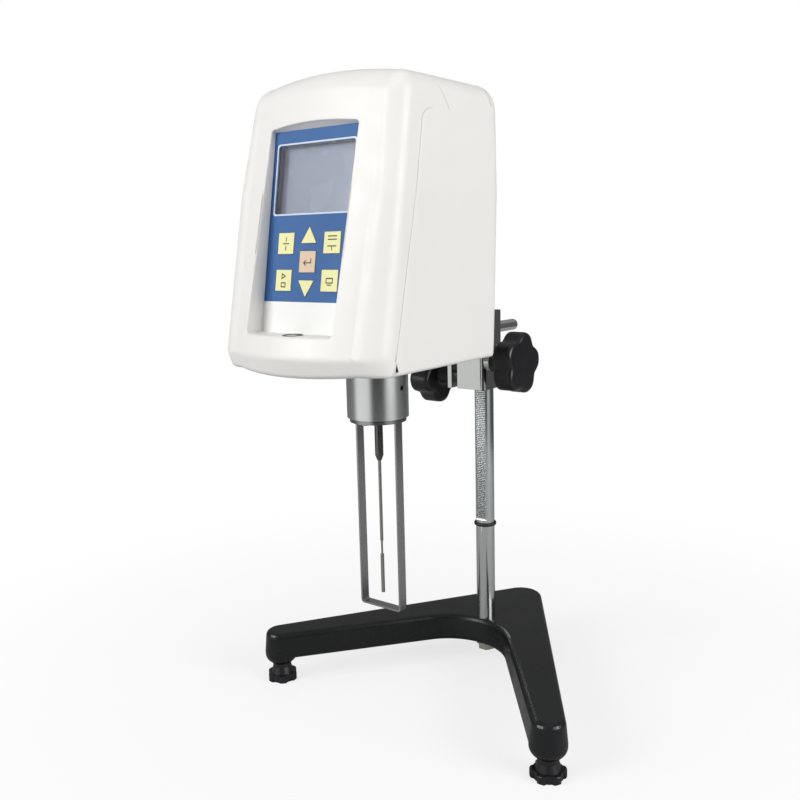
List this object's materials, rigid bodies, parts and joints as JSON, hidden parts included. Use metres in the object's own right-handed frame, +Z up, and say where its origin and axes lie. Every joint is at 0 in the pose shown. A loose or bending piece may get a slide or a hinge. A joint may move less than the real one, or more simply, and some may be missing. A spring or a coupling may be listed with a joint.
{
  "type": "rotational viscometer",
  "caption": "Bench rotational viscometer: sloping head with display and keypad over a guarded spindle, raised and lowered on a rack stand with a V base on levelling screws.",
  "frame": {"origin": "centre of the assembly's box, on the surface that the feet stand on", "axes": "+Z up along the upright rod, -Y towards the operator (display side), +X to the operator's right"},
  "size_m": [0.2876, 0.3044, 0.4858],
  "materials": {
    "black_enamel": "semi-gloss",
    "bright_steel": "polished",
    "zinc_steel": "satin",
    "dark_rubber": "matt",
    "black_knob_plastic": "matt",
    "clamp_aluminium": "satin",
    "cup_aluminium": "satin",
    "guard_steel": "satin",
    "spindle_steel": "polished",
    "white_cover_plastic": "fine texture",
    "white_strip_plastic": "satin",
    "blue_keypad_plastic": "satin",
    "yellow_key_plastic": "satin",
    "peach_key_plastic": "satin",
    "display_line_plastic": "gloss",
    "display_glass": "clear",
    "display_grey": "gloss",
    "black_plastic": "satin",
    "level_green": "clear",
    "frame_aluminium": "plain",
    "gear_brass": "plain",
    "bearing_jewel": "polished",
    "spring_steel": "blued",
    "board_green": "satin"
  },
  "bodies": {
    "stand": {"base_casting": "black_enamel", "upright_rod": "bright_steel", "rod_bolt": "zinc_steel", "rod_washer": "zinc_steel", "stop_ring": "dark_rubber", "rear_foot": "dark_rubber"},
    "left_foot_lift": {"left_foot_collar": "black_knob_plastic"},
    "left_foot_screw": {"left_foot_stud": "zinc_steel", "left_foot_knob": "black_knob_plastic"},
    "right_foot_lift": {"right_foot_collar": "black_knob_plastic"},
    "right_foot_screw": {"right_foot_stud": "zinc_steel", "right_foot_knob": "black_knob_plastic"},
    "clamp": {"clamp_block": "clamp_aluminium", "pinion_bushing": "clamp_aluminium", "tension_insert": "white_strip_plastic", "tension_screw": "zinc_steel"},
    "height_drive": {"pinion_shaft": "spindle_steel", "height_knob": "black_knob_plastic"},
    "rod_lock": {"lock_screw": "spindle_steel", "lock_knob": "black_knob_plastic"},
    "head_slide": {"mounting_rod": "bright_steel"},
    "head": {"front_cover": "white_cover_plastic", "rear_cover": "white_cover_plastic", "bottom_plate": "frame_aluminium", "cover_screws": "zinc_steel", "keypad_panel": "blue_keypad_plastic", "name_strip": "white_strip_plastic", "display_frame": "display_line_plastic", "display_lens": "display_glass", "display_module": "display_grey", "level_housing": "black_plastic", "level_vial": "level_green", "pivot_cup": "cup_aluminium", "guard_ring": "cup_aluminium", "guard_leg": "guard_steel", "guard_screws": "zinc_steel", "jewel_bearing": "bearing_jewel", "top_plate": "frame_aluminium", "frame_posts": "zinc_steel", "motor": "black_plastic", "torque_sensor": "black_plastic", "circuit_board": "board_green", "power_inlet": "black_plastic", "data_connector": "frame_aluminium"},
    "drive": {"drive_shaft": "spindle_steel", "drive_gear": "gear_brass", "torque_spring": "spring_steel"},
    "motor_rotor": {"motor_pinion": "gear_brass"},
    "spindle_rotor": {"pivot_shaft": "spindle_steel", "encoder_disc": "spindle_steel", "spindle_coupling": "spindle_steel", "spindle": "spindle_steel"},
    "power_switch": {"power_rocker": "black_plastic"},
    "press_up": {"key_up": "yellow_key_plastic"},
    "press_down": {"key_down": "yellow_key_plastic"},
    "press_enter": {"key_enter": "peach_key_plastic"},
    "press_upper_left": {"key_upper_left": "yellow_key_plastic"},
    "press_upper_right": {"key_upper_right": "yellow_key_plastic"},
    "press_lower_left": {"key_lower_left": "yellow_key_plastic"},
    "press_lower_right": {"key_lower_right": "yellow_key_plastic"}
  },
  "joints": [
    {"name": "clamp_height", "type": "slide", "parent": "stand", "child": "clamp", "axis": [0, 0, 1], "range_m": [-0.085, 0.07]},
    {"name": "height_knob_turn", "type": "hinge", "parent": "clamp", "child": "height_drive", "pos_m": [0, 0.0612, 0.2722], "axis": [1, 0, 0], "range_deg": [-1100, 1330]},
    {"name": "rod_lock_turn", "type": "hinge", "parent": "clamp", "child": "rod_lock", "pos_m": [0, 0.06805, 0.2585], "axis": [-1, 0, 0], "range_deg": [0, 360]},
    {"name": "head_reach", "type": "slide", "parent": "clamp", "child": "head_slide", "axis": [0, 1, 0], "range_m": [-0.03, 0.02]},
    {"name": "head_tilt", "type": "hinge", "parent": "head_slide", "child": "head", "pos_m": [-0.0185, 0.07155, 0.2942], "axis": [0, 1, 0], "range_deg": [-10, 10]},
    {"name": "drive_turn", "type": "hinge", "parent": "head", "child": "drive", "pos_m": [-0.0185, -0.04815, 0.36], "axis": [0, 0, 1], "continuous": true},
    {"name": "motor_turn", "type": "hinge", "parent": "head", "child": "motor_rotor", "pos_m": [0.004, -0.07496, 0.36], "axis": [0, 0, 1], "continuous": true},
    {"name": "spindle_lag", "type": "hinge", "parent": "drive", "child": "spindle_rotor", "pos_m": [-0.0185, -0.04815, 0.3], "axis": [0, 0, 1], "range_deg": [-80, 80], "stiffness_Nm_per_rad": 0.00005},
    {"name": "power_switch_rock", "type": "hinge", "parent": "head", "child": "power_switch", "pos_m": [0.0135, 0.00189, 0.33223], "axis": [1, 0, 0], "range_deg": [-16, 0]},
    {"name": "key_up_press", "type": "slide", "parent": "head", "child": "press_up", "axis": [0, 0.9859, -0.1676], "range_m": [0, 0.0004], "stiffness_N_per_m": 2000, "springref_m": -0.0005},
    {"name": "key_down_press", "type": "slide", "parent": "head", "child": "press_down", "axis": [0, 0.9859, -0.1676], "range_m": [0, 0.0004], "stiffness_N_per_m": 2000, "springref_m": -0.0005},
    {"name": "key_enter_press", "type": "slide", "parent": "head", "child": "press_enter", "axis": [0, 0.9859, -0.1676], "range_m": [0, 0.0004], "stiffness_N_per_m": 2000, "springref_m": -0.0005},
    {"name": "key_upper_left_press", "type": "slide", "parent": "head", "child": "press_upper_left", "axis": [0, 0.9859, -0.1676], "range_m": [0, 0.0004], "stiffness_N_per_m": 2000, "springref_m": -0.0005},
    {"name": "key_upper_right_press", "type": "slide", "parent": "head", "child": "press_upper_right", "axis": [0, 0.9859, -0.1676], "range_m": [0, 0.0004], "stiffness_N_per_m": 2000, "springref_m": -0.0005},
    {"name": "key_lower_left_press", "type": "slide", "parent": "head", "child": "press_lower_left", "axis": [0, 0.9859, -0.1676], "range_m": [0, 0.0004], "stiffness_N_per_m": 2000, "springref_m": -0.0005},
    {"name": "key_lower_right_press", "type": "slide", "parent": "head", "child": "press_lower_right", "axis": [0, 0.9859, -0.1676], "range_m": [0, 0.0004], "stiffness_N_per_m": 2000, "springref_m": -0.0005},
    {"name": "left_foot_travel", "type": "slide", "parent": "stand", "child": "left_foot_lift", "axis": [0, 0, -1], "range_m": [0, 0.008]},
    {"name": "left_foot_turn", "type": "hinge", "parent": "left_foot_lift", "child": "left_foot_screw", "pos_m": [-0.13, -0.05345, 0.009], "axis": [0, 0, 1], "range_deg": [-10, 2314]},
    {"name": "right_foot_travel", "type": "slide", "parent": "stand", "child": "right_foot_lift", "axis": [0, 0, -1], "range_m": [0, 0.008]},
    {"name": "right_foot_turn", "type": "hinge", "parent": "right_foot_lift", "child": "right_foot_screw", "pos_m": [0.13, -0.05345, 0.009], "axis": [0, 0, 1], "range_deg": [-10, 2314]}
  ],
  "couplings": [
    {"joint": "height_knob_turn", "follows": "clamp_height", "rad_per_m": -266.67},
    {"joint": "motor_turn", "follows": "drive_turn", "ratio": -4},
    {"joint": "left_foot_turn", "follows": "left_foot_travel", "rad_per_m": 5026.5},
    {"joint": "right_foot_turn", "follows": "right_foot_travel", "rad_per_m": 5026.5}
  ]
}
